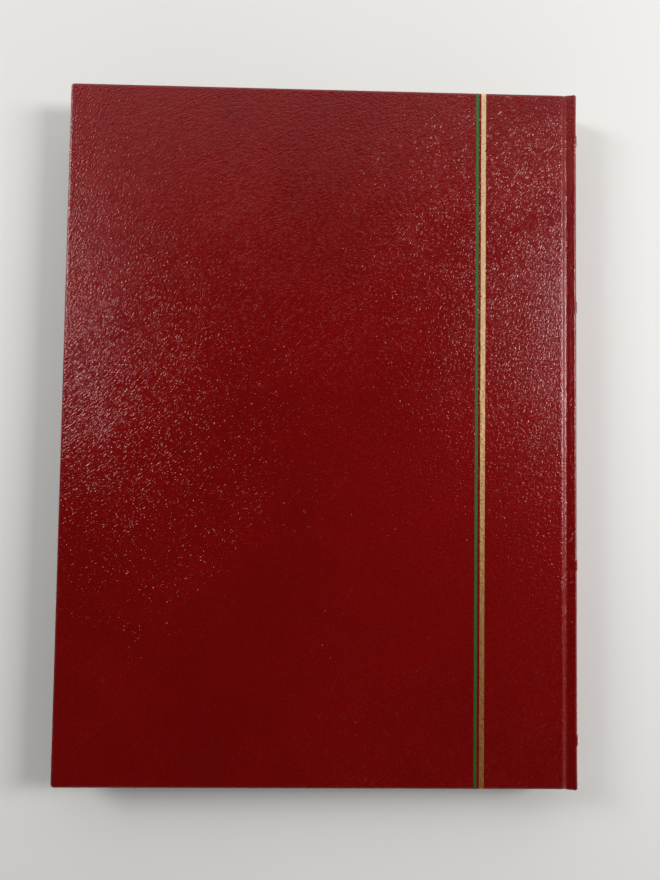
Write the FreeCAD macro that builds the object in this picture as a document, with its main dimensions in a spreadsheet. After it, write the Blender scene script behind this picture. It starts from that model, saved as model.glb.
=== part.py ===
"""Stamp album: a hard-bound stockbook, closed and lying on its front cover.

Frame: +X points from the fore-edge to the spine, +Y from tail to head, +Z up.
The origin is at the middle of the bottom of the album. Sizes are in millimetres.
Heights in the case are counted from the album's middle plane, half its thickness up.
"""
import FreeCAD, Part
import Sketcher
import os

LEAVES = 8
SIDES = ("back", "front")
BAND_PLACES = ("outer_band", "inner_band")

# Driving dimensions, all held by the spreadsheet.
SIZES = {
    "case_width": 228.95,       # fore-edge to the raised bands
    "board_span": 310.0,        # tail to head
    "thickness": 20.0,          # both covers and the leaves
    "cover_thick": 3.2,         # board, leatherette and pastedown
    "cover_reach": 222.0,       # fore-edge to the cover's spine edge
    "skin": 0.4,                # leatherette
    "paper": 0.2,
    "turn_in": 15.0,
    "edge_round": 0.9,
    "corner_round": 1.5,
    "foil": 0.1,
    "green_from": 182.65,
    "green_wide": 1.2,
    "gold_from": 185.0,
    "gold_wide": 2.1,
    "foil_drop": 1.7,           # how far the cover lines run down the board edges
    "spine_from": 225.0,
    "spine_reach": 228.6,
    "spine_span": 311.2,
    "flank_reach": 227.4,
    "flank_half": 9.0,          # half height of the spine's groove edge
    "crest_half": 9.95,         # half height of the spine's crest
    "crest_round": 0.8,
    "board_round": 0.5,
    "spine_board_from": 226.3,
    "outer_band": 134.0,        # raised band centres from mid length
    "inner_band": 57.6,
    "band_wide": 4.6,
    "band_rise": 0.35,
    "strip_from": 228.1,        # bands and lines cross the spine's outer wall only
    "line_offset": 5.7,         # spine lines, inboard of each band
    "line_wide": 0.9,
    "line_step": 2.1,
    "block_span": 302.0,
    "leaf_from": 4.0,
    "leaf_reach": 204.5,
    "guard_from": 214.0,
    "first_leaf": 4.4,          # height of the lowest leaf's middle
    "leaf_step": 1.6,
    "card_thick": 0.5,
    "strip_wide": 27.0,
    "strip_step": 32.0,
    "strip_thick": 0.15,
    "strip_margin": 6.0,
    "linen_thick": 0.3,
    "interleaf_rise": 0.62,
    "interleaf_thick": 0.1,
    "interleaf_inset": 1.0,
    "guard_thick": 1.4,
    "flyleaf_thick": 0.24,
    "front_flyleaf_at": 3.25,
    "back_flyleaf_at": 16.48,
    "groove_at": 224.2,
    "groove_half": 8.6,
    "shoulder_half": 9.1,
    "slope_run": 0.8,           # where the groove's side turns into its floor
    "slope_run_inside": 0.5,
    "slope_lift": 0.2,
    "fold_reach": 225.3,        # inner joint: the endpaper folded double under the groove
    "fold_low": 6.35,
    "fold_high": 7.1,
    "lining_thick": 0.3,
    "headband_radius": 1.0,
}
STRIPS = 9
BLOCK_DEPTH = f"leaf_step * {LEAVES - 1} + guard_thick"

doc = FreeCAD.newDocument("StampAlbum")
sheet = doc.addObject("Spreadsheet::Sheet", "Sizes")
for row, (alias, value) in enumerate(SIZES.items(), start=1):
    sheet.set(f"A{row}", alias)
    sheet.set(f"B{row}", str(value))
    sheet.setAlias(f"B{row}", alias)
doc.recompute()
nodes = []


def bound(text):
    """Turns size names in an expression into references to the sheet."""
    words = []
    for word in text.replace("(", " ( ").replace(")", " ) ").split():
        words.append(f"Sizes.{word}" if word in SIZES else word)
    return " ".join(words)


def as_length(text):
    return f"({bound(text)}) * 1 mm"


def put(thing, x="0", y="0", z="0"):
    for axis, text in zip("xyz", (x, y, z)):
        thing.setExpression(f".Placement.Base.{axis}", as_length(text))


def box(name, size, at):
    """A block with its low corner at a place, both given as expressions."""
    block = doc.addObject("Part::Box", name)
    for side, text in zip(("Length", "Width", "Height"), size):
        block.setExpression(side, as_length(text))
    put(block, *at)
    return block


def cylinder(name, radius, length, at):
    rod = doc.addObject("Part::Cylinder", name)
    rod.setExpression("Radius", as_length(radius))
    rod.setExpression("Height", as_length(length))
    put(rod, *at)
    return rod


def cut(name, base, tool):
    result = doc.addObject("Part::Cut", name)
    result.Base, result.Tool = base, tool
    return result


def common(name, base, tool):
    result = doc.addObject("Part::Common", name)
    result.Base, result.Tool = base, tool
    return result


def fuse(name, shapes):
    result = doc.addObject("Part::MultiFuse", name)
    result.Shapes = shapes
    result.Refine = False
    return result


def compound(name, links):
    result = doc.addObject("Part::Compound", name)
    result.Links = links
    return result


def fillet(name, base, radii):
    """Rounds the edges that each test picks, with that test's radius expression."""
    doc.recompute()
    result = doc.addObject("Part::Fillet", name)
    result.Base = base
    chosen = []
    for number, edge in enumerate(base.Shape.Edges, start=1):
        for test, radius in radii:
            if test(edge):
                size = sheet.get(radius)
                chosen.append((number, size, size))
                break
    result.Edges = chosen
    return result


def origin_plane(body, role):
    return next(o for o in body.Origin.OriginFeatures if o.Role == role)


def number_of(text):
    """What a sum of size names comes to, for a sketch's first shape."""
    total, sign = 0.0, 1.0
    for word in text.split():
        if word in "+-":
            sign = float(word + "1")
        else:
            total += sign * float(SIZES.get(word, word))
    return total


def prism(name, corners, span):
    """A Body padded along Y, centred on y = 0, from a closed outline of (x, z) expressions."""
    body = doc.addObject("PartDesign::Body", name)
    sketch = body.newObject("Sketcher::SketchObject", name + "_outline")
    sketch.AttachmentSupport = [(origin_plane(body, "XZ_Plane"), "")]
    sketch.MapMode = "FlatFace"
    points = [FreeCAD.Vector(number_of(x), number_of(z), 0) for x, z in corners]
    count = len(points)
    for i, point in enumerate(points):
        sketch.addGeometry(Part.LineSegment(point, points[(i + 1) % count]), False)
    for i in range(count):
        sketch.addConstraint(Sketcher.Constraint("Coincident", i, 2, (i + 1) % count, 1))
    for i, (x, z) in enumerate(corners):
        across = sketch.addConstraint(Sketcher.Constraint("DistanceX", -1, 1, i, 1, points[i].x))
        up = sketch.addConstraint(Sketcher.Constraint("DistanceY", -1, 1, i, 1, points[i].y))
        sketch.setExpression(f"Constraints[{across}]", as_length(x))
        sketch.setExpression(f"Constraints[{up}]", as_length(z))
    pad = body.newObject("PartDesign::Pad", name + "_pad")
    pad.Profile = sketch
    pad.SideType = "Symmetric"
    pad.setExpression("Length", as_length(span))
    return body


def node(label, shape, level="0", flipped=False):
    """Names a finished sub-part and sets it in the row's frame."""
    shape.Label = label
    if flipped:
        shape.Placement.Rotation = FreeCAD.Rotation(FreeCAD.Vector(1, 0, 0), 180)
    shape.setExpression(".Placement.Base.x", as_length("0 - case_width / 2"))
    shape.setExpression(".Placement.Base.z", as_length(level))
    nodes.append(shape)
    return shape


def mirrored(corners):
    """An outline's upper half followed by its mirror image below the middle plane."""
    swapped = str.maketrans("+-", "-+")
    return corners + [(x, "0 - " + z.translate(swapped)) for x, z in reversed(corners)]


def on_line(edge, x, z):
    """True for a straight edge along Y at the given x and height."""
    ends = [v.Point for v in edge.Vertexes]
    return len(ends) == 2 and all(abs(p.x - x) + abs(abs(p.z) - z) < 1e-4 for p in ends)


def roll(name, grow, span):
    """The spine's rounded section, grown by one size, as a solid from its flanks outwards."""
    corners = mirrored([("spine_from", "flank_half" + grow), ("flank_reach", "crest_half" + grow),
                        ("spine_reach" + grow, "crest_half" + grow)])
    solid = prism(name, corners, span)
    reach, crest = number_of("spine_reach" + grow), number_of("crest_half" + grow)
    flank = number_of("flank_reach")
    return fillet(name + "_rounded", solid, [
        (lambda edge: on_line(edge, reach, crest) or on_line(edge, flank, crest), "crest_round")])


def spine_strips(name, outer, inner, width, places):
    """Strips that wrap the spine between two grown sections, one at each place along it."""
    shell = cut(f"{name}_shell", roll(f"{name}_outer", outer, "spine_span"),
                roll(f"{name}_inner", inner, "spine_span"))
    slabs = [box(f"{name}_slab_{number}", ("case_width - strip_from", width, "thickness"),
                 ("strip_from", f"{place} - {width} / 2", "0 - thickness / 2"))
             for number, place in enumerate(places)]
    return common(name, shell, compound(f"{name}_slabs", slabs))


def cover_block(name, inset):
    """A cover's outer form, drawn in by one size, with its edges and outer corners rounded."""
    block = box(name, (f"cover_reach - 2 * {inset}", f"board_span - 2 * {inset}",
                       f"cover_thick - paper - {inset}"),
                (inset, f"{inset} - board_span / 2", "thickness / 2 - cover_thick + paper"))
    fore = number_of(inset)
    top = SIZES["thickness"] / 2 - fore

    def outer_corner(edge):
        return all(abs(v.X - fore) < 1e-4 for v in edge.Vertexes) and abs(edge.tangentAt(0).z) > 0.9

    def outer_edge(edge):
        return all(abs(v.Z - top) < 1e-4 for v in edge.Vertexes)

    return fillet(name + "_rounded", block, [(outer_corner, "corner_round"), (outer_edge, "edge_round")])


def cover_line(name, start, width):
    """A foil line let into the leatherette, over the cover and a little way down its edges."""
    shell = cut(f"{name}_shell", cover_block(f"{name}_outside", "0"), cover_block(f"{name}_inside", "foil"))
    slab = box(f"{name}_slab", (width, "spine_span", "foil_drop"),
               (start, "0 - spine_span / 2", "thickness / 2 - foil_drop"))
    return common(name, shell, slab)


def make_cover(side):
    flipped = side == "front"
    middle = "thickness / 2"
    lines = {"green": cover_line(f"{side}_green", "green_from", "green_wide"),
             "gold": cover_line(f"{side}_gold", "gold_from", "gold_wide")}
    hide = cover_block(f"{side}_hide", "0")
    slot = box(f"{side}_slot", ("cover_reach - 2 * skin", "board_span - 2 * skin",
                                "cover_thick - paper - 2 * skin"),
               ("skin", "skin - board_span / 2", "thickness / 2 - cover_thick + paper + skin"))
    window = box(f"{side}_window", ("cover_reach - turn_in - skin", "board_span - 2 * turn_in", "skin"),
                 ("turn_in", "turn_in - board_span / 2", "thickness / 2 - cover_thick + paper"))
    hollow = fuse(f"{side}_hollow", [slot, window, lines["green"], lines["gold"]])
    node(f"{side}_leatherette", cut(f"{side}_skin", hide, hollow), middle, flipped)
    for colour, line in lines.items():
        held = compound(f"{side}_{colour}_held", [line])
        node(f"{side}_{colour}_line", held, middle, flipped)
    core = compound(f"{side}_core", [slot])
    node(f"{side}_board", core, middle, flipped)
    facing = box(f"{side}_sheet", ("cover_reach - 2 * leaf_from", "board_span - 2 * leaf_from", "paper"),
                 ("leaf_from", "leaf_from - board_span / 2", "thickness / 2 - cover_thick"))
    inlay = box(f"{side}_inlay", ("cover_reach - turn_in - 2 * leaf_from", "board_span - 2 * turn_in", "skin"),
                ("turn_in", "turn_in - board_span / 2", "thickness / 2 - cover_thick + paper"))
    node(f"{side}_pastedown", fuse(f"{side}_paste", [facing, inlay]), middle, flipped)
    groove = prism(f"{side}_groove", [
        ("cover_reach", "shoulder_half"), ("cover_reach + slope_run", "groove_half + slope_lift"),
        ("groove_at", "groove_half"), ("spine_from", "flank_half"), ("spine_from", "flank_half - skin"),
        ("groove_at", "groove_half - skin"),
        ("cover_reach + slope_run_inside", "groove_half - skin + slope_lift"),
        ("cover_reach", "shoulder_half - skin - paper")], "board_span")
    node(f"{side}_joint_leatherette", groove, middle, flipped)
    fold = prism(f"{side}_fold", [
        ("cover_reach", "fold_high"), ("cover_reach", "fold_high - paper"),
        ("fold_reach - paper", "fold_high - paper"), ("fold_reach - paper", "fold_low + paper"),
        ("cover_reach", "fold_low + paper"), ("cover_reach", "fold_low"),
        ("fold_reach", "fold_low"), ("fold_reach", "fold_high")], "block_span")
    node(f"{side}_inner_joint", fold, middle, flipped)


def make_spine():
    middle = "thickness / 2"
    outer = roll("spine_outer", "", "spine_span")
    board = prism("spine_stiffener", mirrored([
        ("spine_board_from", "flank_half"), ("flank_reach", "crest_half - skin"),
        ("spine_reach - skin", "crest_half - skin")]), "board_span")
    reach, crest = number_of("spine_reach - skin"), number_of("crest_half - skin")
    stiff = fillet("spine_stiff", board, [(lambda edge: on_line(edge, reach, crest), "board_round")])
    hollow = prism("spine_hollow", mirrored([
        ("spine_from - skin", "flank_half - skin"), ("spine_from", "flank_half - skin"),
        ("spine_board_from", "flank_half")]), "board_span - 2 * turn_in")
    mouth = prism("spine_mouth", mirrored([("spine_from - skin", "flank_half - skin"),
                                           ("spine_board_from - skin", "flank_half - skin")]),
                  "spine_span + skin")
    gold = spine_strips("gold_rings", "", " - foil", "line_wide", line_places("line_offset"))
    green = spine_strips("green_rings", "", " - foil", "line_wide",
                         line_places("line_offset - line_step"))
    inside = fuse("spine_inside", [stiff, hollow, mouth, gold, green])
    node("spine_leatherette", cut("spine_skin", outer, inside), middle)
    node("spine_board", compound("spine_core", [stiff]), middle)
    node("spine_gold_lines", compound("gold_held", [gold]), middle)
    node("spine_green_lines", compound("green_held", [green]), middle)
    places = [sign + name for name in BAND_PLACES for sign in ("0 + ", "0 - ")]
    node("spine_bands", spine_strips("bands", " + band_rise", "", "band_wide", places), middle)


def line_places(offset):
    """Where lines cross the spine: the same way inboard of each raised band."""
    return [f"{sign} ( {band} - ( {offset} ) )" for band in BAND_PLACES for sign in ("0 +", "0 -")]


def make_block():
    span = "block_span"
    low = "0 - block_span / 2"
    guards = [box(f"guard_{k + 1}", ("cover_reach - guard_from", span, "guard_thick"),
                  ("guard_from", low, f"first_leaf + {k} * leaf_step - guard_thick / 2"))
              for k in range(LEAVES)]
    node("binding_guards", compound("guards", guards))
    node("spine_lining", compound("lining_held", [box("lining", (
        "lining_thick", "block_span - turn_in", BLOCK_DEPTH),
        ("cover_reach", "turn_in / 2 - block_span / 2", "first_leaf - guard_thick / 2"))]))
    for label, place in (("headband", "block_span / 2 + headband_radius"),
                         ("tailband", "0 - block_span / 2 - headband_radius")):
        node(label, compound(f"{label}_held", [cylinder(f"{label}_cord", "headband_radius",
             BLOCK_DEPTH,
             ("cover_reach - headband_radius", place, "first_leaf - guard_thick / 2"))]))
    node("front_flyleaf", compound("front_fly_held", [box("front_fly", (
        "cover_reach - leaf_from", span, "flyleaf_thick"), ("leaf_from", low, "front_flyleaf_at"))]))
    node("back_flyleaf", compound("back_fly_held", [box("back_fly", (
        "leaf_reach - leaf_from", span, "flyleaf_thick"), ("leaf_from", low, "back_flyleaf_at"))]))
    node("back_flyleaf_hinge", compound("back_hinge_held", [box("back_fly_hinge", (
        "cover_reach - leaf_reach", span, "flyleaf_thick"), ("leaf_reach", low, "back_flyleaf_at"))]))


def make_leaf(k):
    """One leaf: a card, clear strips on both faces, a cloth hinge and a translucent interleaf."""
    level = f"first_leaf + {k} * leaf_step"
    number = k + 1
    low = "0 - block_span / 2"
    card = box(f"card_{number}", ("leaf_reach - leaf_from", "block_span", "card_thick"),
               ("leaf_from", low, "0 - card_thick / 2"))
    node(f"leaf_card_{number}", compound(f"card_{number}_held", [card]), level)
    strips = []
    for row in range(STRIPS):
        along = f"strip_margin + {row} * strip_step - block_span / 2"
        for face, height in (("over", "card_thick / 2"), ("under", "0 - card_thick / 2 - strip_thick")):
            strips.append(box(f"strip_{number}_{row}_{face}",
                              ("leaf_reach - leaf_from - strip_margin", "strip_wide", "strip_thick"),
                              ("leaf_from + strip_margin / 2", along, height)))
    node(f"pocket_strips_{number}", compound(f"strips_{number}", strips), level)
    linen = box(f"linen_{number}", ("guard_from - leaf_reach", "block_span", "linen_thick"),
                ("leaf_reach", low, "0 - linen_thick / 2"))
    node(f"linen_hinge_{number}", compound(f"linen_{number}_held", [linen]), level)
    tissue = box(f"tissue_{number}", ("leaf_reach - leaf_from - 2 * interleaf_inset",
                                      "block_span - 2 * interleaf_inset", "interleaf_thick"),
                 ("leaf_from + 2 * interleaf_inset", low + " + interleaf_inset", "interleaf_rise"))
    node(f"interleaf_{number}", compound(f"tissue_{number}_held", [tissue]), level)


for side in SIDES:
    make_cover(side)
make_spine()
make_block()
for k in range(LEAVES):
    make_leaf(k)
doc.recompute()

for thing in doc.Objects:
    if "Invalid" in thing.State or "Error" in thing.State:
        raise RuntimeError(f"{thing.Name} did not build")
for part in nodes:
    if part.Shape.isNull() or not part.Shape.isValid() or part.Shape.Volume <= 0:
        raise RuntimeError(f"{part.Label} has no valid shape")

os.makedirs("parts", exist_ok=True)
for part in nodes:
    part.Shape.exportStep(f"parts/{part.Label}.step")
print(len(nodes), "parts")
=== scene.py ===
"""Stamp album, closed, lying on its front cover: the looks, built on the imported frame."""
import math
import bmesh
import bpy
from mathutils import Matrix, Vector, noise


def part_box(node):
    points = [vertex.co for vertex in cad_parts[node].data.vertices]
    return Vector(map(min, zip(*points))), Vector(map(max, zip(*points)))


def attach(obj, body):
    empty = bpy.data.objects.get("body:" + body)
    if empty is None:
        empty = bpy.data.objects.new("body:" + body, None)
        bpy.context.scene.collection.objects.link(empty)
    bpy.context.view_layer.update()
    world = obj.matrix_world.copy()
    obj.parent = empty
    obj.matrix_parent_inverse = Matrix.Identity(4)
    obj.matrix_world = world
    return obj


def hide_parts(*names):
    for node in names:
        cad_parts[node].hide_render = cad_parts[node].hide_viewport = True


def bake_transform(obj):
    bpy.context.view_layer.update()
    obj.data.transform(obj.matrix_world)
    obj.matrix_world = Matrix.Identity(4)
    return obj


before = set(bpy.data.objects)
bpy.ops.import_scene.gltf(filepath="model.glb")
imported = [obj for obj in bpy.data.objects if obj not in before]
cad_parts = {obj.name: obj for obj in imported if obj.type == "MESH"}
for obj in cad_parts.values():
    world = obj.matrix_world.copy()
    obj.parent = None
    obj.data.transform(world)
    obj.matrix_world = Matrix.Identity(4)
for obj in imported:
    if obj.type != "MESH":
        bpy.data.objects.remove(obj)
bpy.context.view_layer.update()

MM = 0.001
LEAVES = 8
ROOT = "spine_and_block"

# Places read from the frame, in metres.
cover_low, cover_high = (Vector(c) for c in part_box("back_leatherette"))
spine_low, spine_high = (Vector(c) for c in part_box("spine_leatherette"))
MIDDLE = (cover_high.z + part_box("front_leatherette")[0][2]) / 2

# Sizes of the visible detail, in metres.
CORNER_ROUND = 1.6 * MM
TURN_IN = 15 * MM
BAND_PLACES = (134.0 * MM, 57.6 * MM)
BAND_WIDE = 4.8 * MM
BAND_SLOPE = 0.9 * MM
BAND_FOOT = 0.5 * MM        # how far outside the band its slope starts
BAND_RISE = 0.30 * MM
CAP_ROUND = 0.9 * MM
LINE_INBOARD = (5.7 * MM, 7.8 * MM)
LINE_WIDE = 0.9 * MM
LINE_FLAT = 150 * MM        # half the length of a foil line's stretch on the cover's face
LINE_DOWN = 1.7 * MM        # how far it runs down the cover's head and tail edges
LINE_WANDER = 0.05 * MM
RING_REACH = 0.45 * MM      # how far onto the spine's corner a foil ring runs
FOIL_LIFT = 0.03 * MM
FLANK_WIDE = 1.81 * MM      # the spine's slope between groove and crest
FLANK_DROP = 0.717 * MM
CREST_LIFT = 0.095 * MM     # the crest over the slope's upper end
CREST_ROUND = 1.3 * MM
WALL_DROP = 2.0 * MM        # from the crest down to the upright wall's first section
FLARE = 0.12 * MM           # how much wider the spine gets at its ends
FLARE_SPAN = 14 * MM
SPINE_SHELL = 0.95 * MM     # from the groove edge to the spine's hollow side
SPINE_LIP = 1.6 * MM        # from the crest down to the hollow side's edge
CROWN_ROUND = 2.2 * MM      # the cover's edge: a soft crown, then a tight round, then a lip
CROWN_TURN = 25             # degrees
EDGE_ROUND = 0.6 * MM
LIP_ROUND = 0.45 * MM
LEATHER_THICK = 0.4 * MM
FOLD_PAPER = 0.2 * MM
FOLD_LAP = 0.6 * MM
CARD_CORNER = 3.5 * MM      # at the fore-edge
CARD_SQUARE = 0.2 * MM      # the small round of the corners at the hinge
CARD_EDGE = 0.08 * MM
CORD_TWIST = 130            # degrees per millimetre
STRIPS = 9
STRIP_STEP = 32 * MM
GRAIN_DEPTH = 0.060 * MM
CREASE_DEPTH = 0.045 * MM
GRAIN_SLANT = 42            # degrees from +X towards +Y

# Light and camera, in metres and degrees.
ROOM_WALLS = 0.58           # strength of the pale room near the horizon
ROOM_CEILING = 0.03         # and overhead, where the panels light the piece
ROOM_FADE = (0.22, 0.68)    # one turns into the other between these heights of direction
WINDOW_SIZE = (0.26, 0.42)
LENS = 27.04
SENSOR = 36
CAMERA_PLACE = (-2.51 * MM, -15.99 * MM, 311.96 * MM)
CAMERA_TURN = (2.376, -1.265, 0.763)


# ---------------------------------------------------------------- node helpers

class Nodes:
    """Short calls for building one material's node tree."""

    def __init__(self, name):
        self.material = bpy.data.materials.new(name)
        self.material.use_nodes = True
        self.tree = self.material.node_tree
        self.shader = self.tree.nodes["Principled BSDF"]
        self.place = self.tree.nodes.new("ShaderNodeTexCoord").outputs["Object"]

    def link(self, output, socket):
        self.tree.links.new(output, socket)

    def put(self, socket, value):
        """Links an output into a socket, or sets a constant on it."""
        if isinstance(value, bpy.types.NodeSocket):
            self.link(value, socket)
        else:
            socket.default_value = value

    def mapping(self, turn=(0, 0, 0), scale=(1, 1, 1)):
        node = self.tree.nodes.new("ShaderNodeMapping")
        node.inputs["Rotation"].default_value = [math.radians(a) for a in turn]
        node.inputs["Scale"].default_value = scale
        self.link(self.place, node.inputs["Vector"])
        return node.outputs["Vector"]

    def along(self, axis):
        """The place along one axis, in metres."""
        node = self.tree.nodes.new("ShaderNodeSeparateXYZ")
        self.link(self.place, node.inputs["Vector"])
        return node.outputs[axis]

    def noise(self, size, detail=2.0, rough=0.5, warp=0.0, source=None):
        node = self.tree.nodes.new("ShaderNodeTexNoise")
        node.inputs["Scale"].default_value = 1 / size
        node.inputs["Detail"].default_value = detail
        node.inputs["Roughness"].default_value = rough
        node.inputs["Distortion"].default_value = warp
        self.link(source or self.place, node.inputs["Vector"])
        return node.outputs["Fac"]

    def slanted(self, stretch, wander):
        """Coordinates turned along the hide's slant and drawn out that way, bent a little by wander."""
        bent = self.tree.nodes.new("ShaderNodeVectorMath")
        bent.operation = "MULTIPLY_ADD"
        self.link(wander, bent.inputs[0])
        bent.inputs[1].default_value = (2.5 * MM, -3.5 * MM, 0)
        self.link(self.place, bent.inputs[2])
        node = self.tree.nodes.new("ShaderNodeMapping")
        node.vector_type = "TEXTURE"
        node.inputs["Rotation"].default_value = (0, 0, math.radians(GRAIN_SLANT))
        node.inputs["Scale"].default_value = (1 / stretch, 1, 1)
        self.link(bent.outputs["Vector"], node.inputs["Vector"])
        return node.outputs["Vector"]

    def cells(self, size, feature, source):
        node = self.tree.nodes.new("ShaderNodeTexVoronoi")
        node.feature = feature
        node.inputs["Scale"].default_value = 1 / size
        if feature == "SMOOTH_F1":
            node.inputs["Smoothness"].default_value = 0.6
        self.link(source, node.inputs["Vector"])
        return node.outputs["Distance"]

    def waves(self, size, warp, axis):
        node = self.tree.nodes.new("ShaderNodeTexWave")
        node.bands_direction = axis
        node.inputs["Scale"].default_value = 0.314 / size
        node.inputs["Distortion"].default_value = warp
        self.link(self.place, node.inputs["Vector"])
        return node.outputs["Fac"]

    def math(self, kind, a, b=0.0):
        node = self.tree.nodes.new("ShaderNodeMath")
        node.operation = kind
        self.put(node.inputs[0], a)
        self.put(node.inputs[1], b)
        return node.outputs["Value"]

    def ramp(self, value, low, high, out_low=0.0, out_high=1.0):
        node = self.tree.nodes.new("ShaderNodeMapRange")
        node.interpolation_type = "SMOOTHSTEP"
        for socket, number in zip(node.inputs[1:5], (low, high, out_low, out_high)):
            socket.default_value = number
        self.put(node.inputs["Value"], value)
        return node.outputs["Result"]

    def blend(self, value, colour_a, colour_b):
        node = self.tree.nodes.new("ShaderNodeMix")
        node.data_type = "RGBA"
        self.put(node.inputs["Factor"], value)
        for socket, colour in zip((node.inputs[6], node.inputs[7]), (colour_a, colour_b)):
            if isinstance(colour, bpy.types.NodeSocket):
                self.link(colour, socket)
            else:
                socket.default_value = (*colour, 1)
        return node.outputs[2]

    def bump(self, height, depth, under=None):
        node = self.tree.nodes.new("ShaderNodeBump")
        node.inputs["Strength"].default_value = 1.0
        node.inputs["Distance"].default_value = depth
        self.put(node.inputs["Height"], height)
        if under is not None:
            self.link(under, node.inputs["Normal"])
        return node.outputs["Normal"]

    def finish(self, colour, roughness, normal, **constants):
        """Links the three into the shader, sets its other inputs and returns the material."""
        self.link(colour, self.shader.inputs["Base Color"])
        self.link(roughness, self.shader.inputs["Roughness"])
        self.link(normal, self.shader.inputs["Normal"])
        for name, value in constants.items():
            self.shader.inputs[name.replace("_", " ")].default_value = value
        return self.material


# ---------------------------------------------------------------- materials

def grain_height(n, wander):
    """Pebbles with flat tops and narrow valleys, in two sizes, drawn out along the hide's slant."""
    coarse = n.cells(1.05 * MM, "DISTANCE_TO_EDGE", source=n.slanted(0.45, wander))
    small = n.cells(0.70 * MM, "DISTANCE_TO_EDGE", source=n.slanted(0.70, wander))
    return n.math("ADD", n.ramp(coarse, 0.0, 0.34), n.math("MULTIPLY", n.ramp(small, 0.0, 0.36), 0.6))


def crease_height(n, wander):
    """Long wandering creases, deep in some places and gone in others."""
    field = n.noise(3.4 * MM, 1.5, 0.4, 0.4, source=n.slanted(0.24, wander))
    creases = n.ramp(n.math("ABSOLUTE", n.math("SUBTRACT", field, 0.5)), 0.0, 0.045)
    return n.math("MULTIPLY", creases, n.ramp(n.noise(40 * MM, 1.0), 0.40, 0.66, 0.15, 0.75))


def leather():
    """Glossy dark-red leatherette: fine pebbled grain, wandering creases, slight mottling, and painted
    shade in the grain's valleys.
    """
    n = Nodes("leatherette")
    wander = n.noise(34 * MM, 1.0)
    grain = grain_height(n, wander)
    normal = n.bump(grain, GRAIN_DEPTH)
    normal = n.bump(crease_height(n, wander), CREASE_DEPTH, under=normal)
    normal = n.bump(n.noise(14 * MM, 1.0), 0.010 * MM, under=normal)
    n.link(normal, n.shader.inputs["Coat Normal"])
    shade = n.ramp(n.noise(38 * MM, 3.0), 0.3, 0.7)
    colour = n.blend(shade, (0.196, 0.0009, 0.0009), (0.228, 0.0014, 0.0012))
    # painted shade: the grain's valleys are blended towards a darker red
    colour = n.blend(n.ramp(grain, 0.3, 1.2, 0.35, 0.0), colour, (0.110, 0.0006, 0.0006))
    gloss = n.ramp(n.noise(0.8 * MM, 2.0), 0.3, 0.7, 0.42, 0.50)
    return n.finish(colour, gloss, normal, Specular_IOR_Level=0.0, Metallic=0.3,
                    Coat_Weight=1.0, Coat_Roughness=0.17, Coat_IOR=1.5)


def foil(name, bright, shade_and_uneven_colour, metal, rough):
    """Hot-stamped foil that follows the grain and has lost tiny specks; painted shade darkens it
    towards the tail, and uneven patches darken it too.
    """
    n = Nodes(name)
    grain = n.cells(0.95 * MM, "SMOOTH_F1", source=n.mapping(turn=(0, 0, -30), scale=(0.8, 1.1, 1)))
    specks = n.ramp(n.noise(0.7 * MM, 2.0), 0.62, 0.70)
    uneven = n.noise(1.4 * MM, 3.0, source=n.mapping(scale=(1.6, 0.5, 1)))
    # painted shade: the foil is blended from its light colour at the head towards its dark one at the
    # tail
    tail_shade = n.ramp(n.along("Y"), cover_high.y, cover_low.y, -0.25, 0.60)
    shade_and_unevenness = n.math("ADD", tail_shade, n.math("MULTIPLY", uneven, 0.65))
    colour = n.blend(specks, n.blend(shade_and_unevenness, bright, shade_and_uneven_colour), (0.10, 0.012, 0.006))
    normal = n.bump(grain, 0.07 * MM)
    return n.finish(colour, n.ramp(n.noise(0.7 * MM, 2.0), 0.3, 0.7, rough, rough + 0.12), normal,
                    Metallic=metal)


def paper(name, low, high, fibre=0.35 * MM, rough=0.8, depth=0.012 * MM):
    """Uncoated paper or card: mottled fibres, matt, very slightly rough."""
    n = Nodes(name)
    fibres = n.noise(fibre, 3.0, 0.6, source=n.mapping(scale=(1, 0.25, 1)))
    cloud = n.noise(6 * MM, 3.0)
    mottle = n.math("ADD", n.math("MULTIPLY", fibres, 0.5), n.math("MULTIPLY", cloud, 0.5))
    colour = n.blend(mottle, low, high)
    return n.finish(colour, n.ramp(fibres, 0.3, 0.7, rough - 0.06, rough + 0.06), n.bump(fibres, depth))


def linen():
    """Black plain-woven cloth tape: crossing threads from two wave patterns."""
    n = Nodes("black_linen")
    weave = n.math("MAXIMUM", n.waves(0.45 * MM, 0.4, "X"), n.waves(0.45 * MM, 0.4, "Y"))
    worn = n.ramp(n.noise(1.5 * MM), 0.3, 0.7, 0.7, 1.0)
    colour = n.blend(n.math("MULTIPLY", weave, worn), (0.010, 0.010, 0.012), (0.035, 0.035, 0.040))
    return n.finish(colour, n.ramp(weave, 0, 1, 0.83, 0.70), n.bump(weave, 0.06 * MM),
                    Sheen_Weight=0.2, Sheen_Roughness=0.5)


def clear_film(name, tint, alpha, rough):
    """Clear or misty film: thin, glossy, faintly scuffed."""
    n = Nodes(name)
    scuffs = n.noise(1.2 * MM, 3.0, source=n.mapping(scale=(0.2, 1, 1)))
    ripple = n.noise(14 * MM, 2.0)
    colour = n.blend(scuffs, tint, tuple(0.92 * c for c in tint))
    return n.finish(colour, n.ramp(scuffs, 0.35, 0.7, rough, rough + 0.1), n.bump(ripple, 0.2 * MM),
                    Alpha=alpha, IOR=1.49)


def headband_cord():
    """Twisted silk in two colours, in bands across the cord."""
    n = Nodes("headband_silk")
    stripes = n.ramp(n.waves(1.6 * MM, 0.0, "Z"), 0.4, 0.6)
    threads = n.waves(0.28 * MM, 0.5, "Z")
    colour = n.blend(stripes, (0.55, 0.50, 0.40), (0.20, 0.008, 0.008))
    return n.finish(colour, n.ramp(threads, 0, 1, 0.6, 0.45), n.bump(threads, 0.08 * MM),
                    Sheen_Weight=0.3, Sheen_Roughness=0.4)


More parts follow.
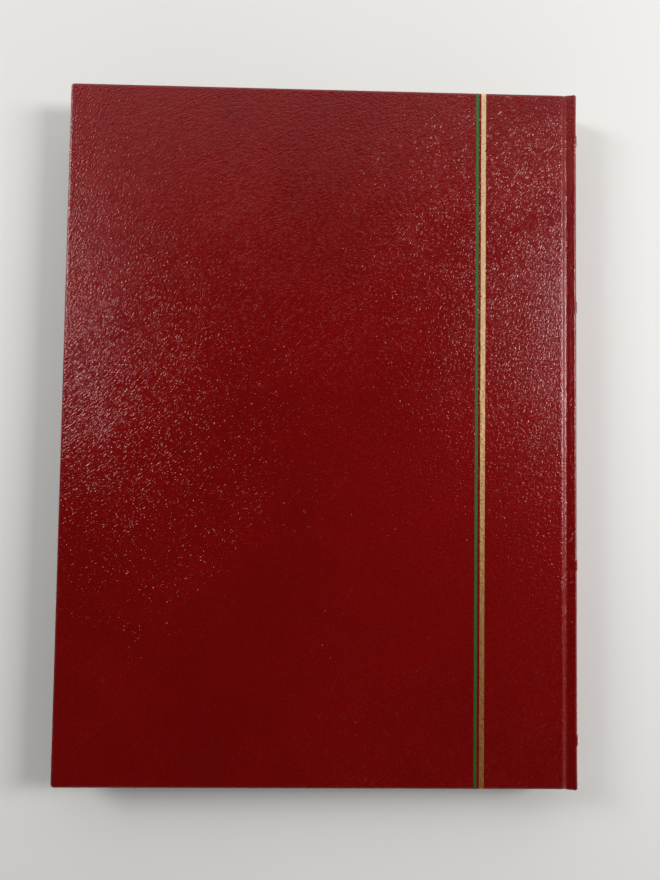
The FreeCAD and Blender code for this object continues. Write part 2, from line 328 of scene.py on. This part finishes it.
def floor_paint():
    """Smooth pale table top with the faintest unevenness."""
    n = Nodes("table_top")
    cloud = n.noise(120 * MM, 2.0)
    colour = n.blend(cloud, (0.80, 0.79, 0.765), (0.84, 0.83, 0.81))
    return n.finish(colour, n.ramp(n.noise(3 * MM, 3.0), 0.3, 0.7, 0.55, 0.62),
                    n.bump(n.noise(1.2 * MM, 3.0), 0.01 * MM), Specular_IOR_Level=0.3)


LEATHER = leather()
# each foil's second colour is its painted shade towards the tail, also reached in its uneven patches
GOLD = foil("gold_foil", (1.0, 0.74, 0.40), (0.58, 0.24, 0.05), 0.85, 0.36)
GREEN = foil("green_foil", (0.022, 0.16, 0.035), (0.010, 0.11, 0.018), 0.2, 0.32)
ENDPAPER = paper("endpaper", (0.70, 0.66, 0.57), (0.80, 0.77, 0.69))
GREYBOARD = paper("greyboard", (0.28, 0.26, 0.23), (0.40, 0.38, 0.34), 0.5 * MM, 0.85, 0.04 * MM)
BLACK_CARD = paper("black_card", (0.010, 0.010, 0.011), (0.022, 0.022, 0.024),
                   0.4 * MM, 0.72, 0.02 * MM)
KRAFT = paper("kraft", (0.34, 0.22, 0.12), (0.48, 0.34, 0.20), 0.6 * MM, 0.8, 0.02 * MM)
LINEN = linen()
FILM = clear_film("clear_film", (0.86, 0.88, 0.90), 0.24, 0.08)
GLASSINE = clear_film("glassine", (0.84, 0.84, 0.80), 0.62, 0.38)
SILK = headband_cord()


# ---------------------------------------------------------------- mesh helpers

def mesh_piece(name, points, faces, material, smooth=True):
    mesh = bpy.data.meshes.new(name)
    mesh.from_pydata([tuple(p) for p in points], [], faces)
    mesh.materials.append(material)
    mesh.validate()
    mesh.update()
    piece = bpy.data.objects.new(name, mesh)
    bpy.context.collection.objects.link(piece)
    for face in mesh.polygons:
        face.use_smooth = smooth
    return piece


def loft(name, rows, material, closed=False, caps=False, smooth=True):
    """A skin through rows of points; each row may close on itself, and the ends may be capped."""
    count = len(rows[0])
    points = [p for row in rows for p in row]
    faces = []
    for r in range(len(rows) - 1):
        for i in range(count if closed else count - 1):
            j = (i + 1) % count
            faces.append((r * count + i, r * count + j, (r + 1) * count + j, (r + 1) * count + i))
    if caps:
        faces.append(tuple(reversed(range(count))))
        faces.append(tuple((len(rows) - 1) * count + i for i in range(count)))
    piece = mesh_piece(name, points, faces, material, smooth)
    return face_outwards(piece)


def face_outwards(piece):
    form = bmesh.new()
    form.from_mesh(piece.data)
    bmesh.ops.recalc_face_normals(form, faces=form.faces)
    form.to_mesh(piece.data)
    form.free()
    return piece


def arc(centre, radius, start, end, steps):
    """Points (x, z) along an arc, angles in degrees from +X towards +Z."""
    turn = [math.radians(start + (end - start) * i / steps) for i in range(steps + 1)]
    return [(centre[0] + radius * math.cos(a), centre[1] + radius * math.sin(a)) for a in turn]


def spread(low, high, step):
    """Even places from low to high, as near as they can be to step apart."""
    count = max(1, round((high - low) / step))
    return [low + (high - low) * i / count for i in range(count + 1)]


def flip(z):
    """The same height on the other side of the album's middle plane."""
    return 2 * MIDDLE - z


def sided(side, z):
    """A height given for the back cover, or its mirror for the front one."""
    return z if side == "back" else flip(z)


# ---------------------------------------------------------------- case

def cover_outline(inset):
    """The cover's outline drawn in by inset, as points around it with rounded outer corners."""
    low_x, high_x = cover_low.x + inset, cover_high.x - inset
    low_y, high_y = cover_low.y + inset, cover_high.y - inset
    corners = ((high_x, low_y, CORNER_ROUND / 4, -90), (high_x, high_y, CORNER_ROUND / 4, 0),
               (low_x, high_y, CORNER_ROUND, 90), (low_x, low_y, CORNER_ROUND, 180))
    points = []
    for x, y, size, start in corners:
        radius = max(size - inset, 0.15 * MM)
        centre = (x - math.copysign(radius, x), y - math.copysign(radius, y))
        points += arc(centre, radius, start, start + 90, 6)
    return points


def shoulder():
    """(inset, height) over a cover's edge: a long soft crown and then a tight round."""
    top, turn = cover_high.z, math.radians(CROWN_TURN)
    run = CROWN_ROUND * math.sin(turn) + EDGE_ROUND * (1 - math.sin(turn))
    drop = CROWN_ROUND * (1 - math.cos(turn))
    points = []
    for i in range(5):
        a = turn * i / 4
        points.append((run - CROWN_ROUND * math.sin(a), top - CROWN_ROUND * (1 - math.cos(a))))
    for i in range(1, 7):
        a = turn + (math.pi / 2 - turn) * i / 6
        height = top - drop - EDGE_ROUND * (math.cos(turn) - math.cos(a))
        points.append((EDGE_ROUND * (1 - math.sin(a)), height))
    return points


def edge_profile():
    """(inset, height) from the outer face over the rounded edge to the turn-in's inner edge."""
    top, under = cover_high.z, cover_low.z
    lip = arc((LIP_ROUND, under + LIP_ROUND), LIP_ROUND, 180, 270, 4)
    outer = [(6 * MM, top), (3 * MM, top), (1.6 * MM, top)]
    inner = [(4 * MM, under), (TURN_IN - LEATHER_THICK, under), (TURN_IN, under + 0.15 * MM),
             (TURN_IN, under + LEATHER_THICK)]
    return outer + shoulder() + lip + inner


def cover_skin(side):
    """Leatherette over a cover's face, round its edges and turned in underneath."""
    rows = []
    for inset, height in edge_profile():
        rows.append([(x, y, sided(side, height)) for x, y in cover_outline(inset)])
    skin = loft(f"{side}_cover_skin", rows, LEATHER, closed=True)
    form = bmesh.new()
    form.from_mesh(skin.data)
    form.verts.ensure_lookup_table()
    form.faces.new([form.verts[i] for i in range(len(rows[0]))]).smooth = True
    bmesh.ops.recalc_face_normals(form, faces=form.faces)
    form.to_mesh(skin.data)
    form.free()
    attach(skin, f"{side}_cover")
    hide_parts(f"{side}_leatherette")


def cover_line(side, colour, material):
    """A foil line over the cover's face and down its head and tail edges."""
    low, high = (Vector(c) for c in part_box(f"{side}_{colour}_line"))
    top = cover_high.z + FOIL_LIFT
    bend = [(cover_high.y - inset + FOIL_LIFT, z + FOIL_LIFT) for inset, z in reversed(shoulder())]
    head = [(cover_high.y + FOIL_LIFT, cover_high.z - LINE_DOWN)] + bend
    path = head + [(y, top) for y in reversed(spread(-LINE_FLAT, LINE_FLAT, 4 * MM))]
    path += [(-y, z) for y, z in reversed(head)]
    rows = []
    for y, z in path:
        wander = LINE_WANDER * noise.noise((y * 90, low.x * 50, 0))
        rows.append([(low.x + (high.x - low.x) * t + wander, y, sided(side, z)) for t in (0, 0.5, 1)])
    line = loft(f"{side}_{colour}_foil", rows, material)
    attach(line, f"{side}_cover")
    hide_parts(f"{side}_{colour}_line")


def flank_height(t):
    """Height of the spine's slope, from its groove edge at t = 0 to where the crest begins at t = 1."""
    return spine_high.z - CREST_LIFT - FLANK_DROP * (1 - t)


def roll_half(rise):
    """The spine's outer section above the middle plane: sloped flank, tight crest, upright wall.

    The wall and the outer side of the crest stand proud by rise; the flank doesn't.
    """
    crest = spine_high.z
    reach = spine_high.x
    flank = [(spine_low.x + t * FLANK_WIDE, flank_height(t)) for t in (-0.2, 0.15, 0.5, 0.85)]
    start = 90 + math.degrees(math.atan2(FLANK_DROP, FLANK_WIDE))
    corner = []
    centre = (reach - CREST_ROUND, crest - CREST_ROUND)
    for i, (x, z) in enumerate(arc(centre, CREST_ROUND, start, 0, 14)):
        angle = math.radians(start * (1 - i / 14))
        proud = rise * smooth_step((i - 3) / 6)
        corner.append((x + proud * math.cos(angle), z + proud * math.sin(angle)))
    wall = [(reach + rise, z) for z in spread(crest - WALL_DROP, MIDDLE, 1.2 * MM)]
    return flank + corner + wall


def roll_section(rise):
    """The whole outer section: the upper half and its mirror."""
    half = roll_half(rise)
    return half + [(x, flip(z)) for x, z in reversed(half[:-1])]


def smooth_step(t):
    t = min(1.0, max(0.0, t))
    return t * t * (3 - 2 * t)


def band_height(y):
    """How proud the spine stands at one place along it: raised over each band."""
    gap = min(abs(abs(y) - place) for place in BAND_PLACES)
    return BAND_RISE * smooth_step((BAND_WIDE / 2 + BAND_FOOT - gap) / BAND_SLOPE)


def spine_skin():
    """The spine's leatherette: outer section, raised bands, flared and rounded ends, hollow side."""
    end = spine_high.y
    inner_x = spine_low.x + SPINE_SHELL
    centre_x = (inner_x + spine_high.x) / 2
    lip = spine_high.z - SPINE_LIP
    places = spread(-end + 1.4 * MM, end - 1.4 * MM, 6 * MM)
    for place in BAND_PLACES:
        near = spread(place - 4 * MM, place + 4 * MM, 0.25 * MM)
        places += near + [-y for y in near]
    places = sorted(set(round(y, 6) for y in places))
    rows = []

    def drawn_in(value, middle, shrink):
        away = value - middle
        return middle + math.copysign(max(abs(away) - shrink, 0.1 * MM), away)

    def section(y, shrink):
        flare = FLARE * smooth_step((abs(y) - end + FLARE_SPAN) / FLARE_SPAN)
        outline = roll_section(band_height(y) + flare) + [(inner_x, flip(lip)), (inner_x, lip)]
        rows.append([(drawn_in(x, centre_x, shrink), y, drawn_in(z, MIDDLE, shrink))
                     for x, z in outline])

    turns = [step * math.pi / 12 for step in range(7)]
    caps = [(CAP_ROUND * (1 - math.cos(a)), CAP_ROUND * (1 - math.sin(a))) for a in turns]
    for inset, shrink in caps:
        section(-end + inset, shrink)
    for y in places:
        section(y, 0)
    for inset, shrink in reversed(caps):
        section(end - inset, shrink)
    skin = loft("spine_skin", rows, LEATHER, closed=True, caps=True)
    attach(skin, ROOT)
    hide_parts("spine_leatherette", "spine_bands")


def spine_ring(name, y, material):
    """A foil line across the spine's outer wall, ending on the roll's corner."""
    rows = []
    start = spine_high.x - RING_REACH
    for t in (-0.5, 0, 0.5):
        along = y + t * LINE_WIDE
        section = roll_section(band_height(along) + FOIL_LIFT)
        rows.append([(x, along, z) for x, z in section if x > start])
    ring = loft(name, rows, material)
    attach(ring, ROOT)
    return ring


def spine_lines():
    """A gold and a green ring just inboard of each band."""
    for inboard, colour, material in zip(LINE_INBOARD, ("gold", "green"), (GOLD, GREEN)):
        rings = []
        for place in BAND_PLACES:
            for sign in (1, -1):
                number = len(rings) + 1
                along = sign * (place - inboard)
                rings.append(spine_ring(f"spine_{colour}_ring_{number}", along, material))
        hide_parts(f"spine_{colour}_lines")


def groove_skin(side):
    """The leatherette that leaves the cover's face, dips into the groove and climbs to the spine."""
    top = cover_high.z + 0.01 * MM
    ridge = cover_high.x
    # Across from the ridge and up from the face, in millimetres.
    heights = ((-2.6, -0.06), (-2.0, -0.01), (-1.4, 0.0), (-0.8, 0.0), (-0.3, -0.03), (0.1, -0.12),
               (0.5, -0.35), (0.9, -0.63), (1.3, -0.84), (1.7, -0.94), (2.1, -0.98), (2.5, -0.96),
               (2.8, -0.90))
    dip = [(ridge + x * MM, top + z * MM) for x, z in heights]
    dip += [(spine_low.x + t * FLANK_WIDE, flank_height(t) + lift * MM)
            for t, lift in ((0.05, 0.03), (0.25, 0.01), (0.5, -0.05))]
    thick = [0.0, 0.1 * MM] + [LEATHER_THICK] * (len(dip) - 3) + [0.3 * MM]
    ends = [(inset, cover_high.z - z) for inset, z in shoulder()]
    rows = []

    def row(place, drop):
        """One section; place gives its y from x, and drop lowers it."""
        outer = [(x, place(x), sided(side, z - drop)) for x, z in dip]
        inner = [(x, place(x), sided(side, z - drop - 0.01 * MM - t)) for (x, z), t in zip(dip, thick)]
        rows.append(outer + inner[::-1])

    def end_place(sign, inset):
        """The section's end follows the cover's edge at one side and the spine's end at the other."""
        step = spine_high.y - cover_high.y
        return lambda x: sign * (cover_high.y + step * smooth_step((x - ridge) / (2.4 * MM)) - inset)

    for inset, drop in reversed(ends):
        row(end_place(-1, inset), drop)
    for y in spread(cover_low.y + 3 * MM, cover_high.y - 3 * MM, 5 * MM):
        row(lambda x: y, 0.0)
    for inset, drop in ends:
        row(end_place(1, inset), drop)
    skin = loft(f"{side}_groove_skin", rows, LEATHER, closed=True, caps=True)
    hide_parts(f"{side}_joint_leatherette")
    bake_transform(skin)


def inner_joint(side):
    """Endpaper folded double between the leaves and the cover, under the groove."""
    low, high = (Vector(c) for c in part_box(f"{side}_inner_joint"))
    bottom, top = (low.z, high.z) if side == "back" else (flip(high.z), flip(low.z))
    reach = high.x - 0.4 * MM
    middle = (bottom + top) / 2
    start, centre, radius = low.x - FOLD_LAP, (reach - 0.3 * MM, middle), (top - bottom) / 2
    outer = [(start, top)] + arc(centre, radius, 90, -90, 10) + [(start, bottom)]
    inner = ([(start, bottom + FOLD_PAPER)] + arc(centre, radius - FOLD_PAPER, -90, 90, 10)
             + [(start, top - FOLD_PAPER)])
    rows = []
    for y in spread(low.y, high.y, 6 * MM):
        rows.append([(x, y, sided(side, z)) for x, z in outer + inner])
    fold = loft(f"{side}_inner_fold", rows, ENDPAPER, closed=True, caps=True)
    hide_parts(f"{side}_inner_joint")
    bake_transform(fold)


# ---------------------------------------------------------------- block

def head_and_tail_bands():
    """Twisted cords at both ends of the block."""
    for name in ("headband", "tailband"):
        low, high = (Vector(c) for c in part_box(name))
        centre = (low + high) / 2
        radius = (high.x - low.x) / 2
        rows = []
        for z in spread(low.z, high.z, 0.2 * MM):
            twist = math.radians(z / MM * CORD_TWIST)
            row = []
            for i in range(24):
                a = 2 * math.pi * i / 24
                r = radius * (0.94 + 0.06 * math.cos(3 * (a + twist)))
                row.append((centre.x + r * math.cos(a), centre.y + r * math.sin(a), z))
            rows.append(row)
        cord = loft(f"{name}_cord", rows, SILK, closed=True, caps=True)
        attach(cord, ROOT)
        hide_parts(name)


def paint(node, material):
    """Gives a CAD node's own shape a finish."""
    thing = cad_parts[node]
    thing.data.materials.clear()
    thing.data.materials.append(material)


def bending_strip(name, node, material):
    """A thin flat strip, finely divided across, that replaces a hinge node."""
    low, high = (Vector(c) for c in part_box(node))
    across = spread(low.x, high.x, 0.5 * MM)
    rows = []
    for y in spread(low.y, high.y, 12 * MM):
        rows.append([(x, y, high.z) for x in across] + [(x, y, low.z) for x in reversed(across)])
    strip = loft(name, rows, material, closed=True, caps=True, smooth=False)
    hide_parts(node)
    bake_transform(strip)


def linen_hinge(k):
    """Woven tape from the guard to the leaf."""
    bending_strip(f"linen_tape_{k}", f"linen_hinge_{k}", LINEN)


def flyleaf_hinge():
    """The strip of endpaper between the block and the back flyleaf."""
    bending_strip("back_flyleaf_bend", "back_flyleaf_hinge", ENDPAPER)


def card_outline(low, high, z):
    """A leaf card's outline at height z, its two corners at the fore-edge rounded."""
    corners = ((high.x, low.y, CARD_SQUARE, 1, -90), (high.x, high.y, CARD_SQUARE, 1, 0),
               (low.x, high.y, CARD_CORNER, -1, 90), (low.x, low.y, CARD_CORNER, -1, 180))
    points = []
    for x, y, size, side, start in corners:
        centre = (x - side * size, y - math.copysign(size, y))
        points += [(px, py, z) for px, py in arc(centre, size, start, start + 90, 5)]
    return points


def leaf_card(k):
    """The black card with softened edges and rounded fore-edge corners."""
    node = f"leaf_card_{k}"
    low, high = (Vector(c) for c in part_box(node))
    rows = []
    for inset, z in ((CARD_EDGE * 2, low.z), (0, low.z + CARD_EDGE), (0, high.z - CARD_EDGE),
                     (CARD_EDGE * 2, high.z)):
        edge_low = Vector((low.x + inset, low.y + inset, 0))
        edge_high = Vector((high.x - inset, high.y - inset, 0))
        rows.append(card_outline(edge_low, edge_high, z))
    card = loft(f"card_{k}", rows, BLACK_CARD, closed=True, caps=True, smooth=False)
    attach(card, f"leaf_{k}")
    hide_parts(node)


def pocket_strips(k):
    """Clear strips on both faces: welded along the tail side, open and lipped on the head side."""
    node = f"pocket_strips_{k}"
    low, high = (Vector(c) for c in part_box(node))
    card_low, card_high = (Vector(c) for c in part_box(f"leaf_card_{k}"))
    # Along a strip from its tail edge and away from the card, in millimetres.
    profile = ((0.0, 0.01), (0.8, 0.02), (1.0, 0.04), (2.4, 0.04), (2.6, 0.03), (9.0, 0.05),
               (18.0, 0.08), (25.6, 0.11), (25.9, 0.15), (26.6, 0.15), (27.0, 0.12))
    width = len(profile)
    across = spread(low.x, high.x, 14 * MM)
    points, faces = [], []
    for row in range(STRIPS):
        start = low.y + row * STRIP_STEP
        for surface, away in ((card_high.z, 1), (card_low.z, -1)):
            first = len(points)
            for x in across:
                sway = 1 + 0.25 * noise.noise((x * 30, start * 40, k + away))
                for y, rise in profile:
                    points.append((x, start + y * MM, surface + away * rise * MM * sway))
            for i in range(len(across) - 1):
                for j in range(width - 1):
                    corner = first + i * width + j
                    quad = (corner, corner + width, corner + width + 1, corner + 1)
                    faces.append(quad if away > 0 else quad[::-1])
    strips = mesh_piece(f"strips_{k}", points, faces, FILM)
    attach(strips, f"leaf_{k}")
    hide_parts(node)


def interleaf(k):
    """A sheet of glassine with a slight cockle."""
    node = f"interleaf_{k}"
    low, high = (Vector(c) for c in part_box(node))
    middle = (low.z + high.z) / 2
    rows = []
    for y in spread(low.y, high.y, 10 * MM):
        row = []
        for x in spread(low.x, high.x, 10 * MM):
            cockle = 0.07 * MM * noise.noise((x * 28, y * 22, k * 3.1))
            row.append((x, y, middle + cockle))
        rows.append(row)
    sheet = loft(f"glassine_{k}", rows, GLASSINE)
    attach(sheet, f"leaf_{k}")
    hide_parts(node)


def carried_nodes():
    """CAD nodes whose own shape is right, with their finishes."""
    finishes = {"board": GREYBOARD, "pastedown": ENDPAPER}
    for side in ("back", "front"):
        for part, material in finishes.items():
            paint(f"{side}_{part}", material)
        paint(f"{side}_flyleaf", ENDPAPER)
    paint("spine_board", GREYBOARD)
    paint("spine_lining", KRAFT)
    paint("binding_guards", BLACK_CARD)


# ---------------------------------------------------------------- stage, light and camera

def stage():
    """The pale table that the album lies on."""
    table = loft("table", [[(x, y, 0.0) for x in (-3, 3)] for y in (-3, 3)], floor_paint())


def panel(name, place, aim, size, power):
    """A rectangular light at place, facing aim, of so many watts."""
    light = bpy.data.lights.new(name, "AREA")
    light.shape = "RECTANGLE"
    light.size, light.size_y = size
    light.energy = power
    lamp = bpy.data.objects.new(name, light)
    bpy.context.collection.objects.link(lamp)
    lamp.location = place
    lamp.rotation_euler = (Vector(aim) - Vector(place)).to_track_quat("-Z", "Y").to_euler()


def lights():
    """A room with pale walls and a dark ceiling, two windows and a soft light beyond the head."""
    world = bpy.data.worlds.new("room")
    world.use_nodes = True
    tree = world.node_tree
    direction = tree.nodes.new("ShaderNodeTexCoord")
    split = tree.nodes.new("ShaderNodeSeparateXYZ")
    tree.links.new(direction.outputs["Generated"], split.inputs["Vector"])
    walls = tree.nodes.new("ShaderNodeMapRange")
    walls.interpolation_type = "SMOOTHSTEP"
    for socket, number in zip(walls.inputs[1:5], (*ROOM_FADE, ROOM_WALLS, ROOM_CEILING)):
        socket.default_value = number
    tree.links.new(split.outputs["Z"], walls.inputs["Value"])
    backdrop = tree.nodes["Background"]
    backdrop.inputs["Color"].default_value = (1.0, 0.99, 0.97, 1)
    tree.links.new(walls.outputs["Result"], backdrop.inputs["Strength"])
    bpy.context.scene.world = world
    panel("left_window", (-0.78, 0.43, 0.66), (0, 0.03, 0), WINDOW_SIZE, 4.6)
    panel("right_window", (0.78, 0.17, 0.66), (0, 0.03, 0), WINDOW_SIZE, 6.9)
    panel("head_softbox", (0.0, 1.50, 1.02), (0, 0.1, 0), (3.0, 1.2), 11.6)
    bpy.context.scene.view_settings.view_transform = "Standard"


def camera():
    eye = bpy.data.cameras.new("camera")
    eye.lens = LENS
    eye.sensor_width = SENSOR
    eye.clip_start = 0.01
    rig = bpy.data.objects.new("camera", eye)
    bpy.context.collection.objects.link(rig)
    rig.location = CAMERA_PLACE
    rig.rotation_euler = [math.radians(a) for a in CAMERA_TURN]
    bpy.context.scene.camera = rig


for side in ("back", "front"):
    cover_skin(side)
    cover_line(side, "green", GREEN)
    cover_line(side, "gold", GOLD)
    groove_skin(side)
    inner_joint(side)
spine_skin()
spine_lines()
head_and_tail_bands()
for k in range(1, LEAVES + 1):
    leaf_card(k)
    pocket_strips(k)
    interleaf(k)
    linen_hinge(k)
flyleaf_hinge()
carried_nodes()
stage()
lights()
camera()
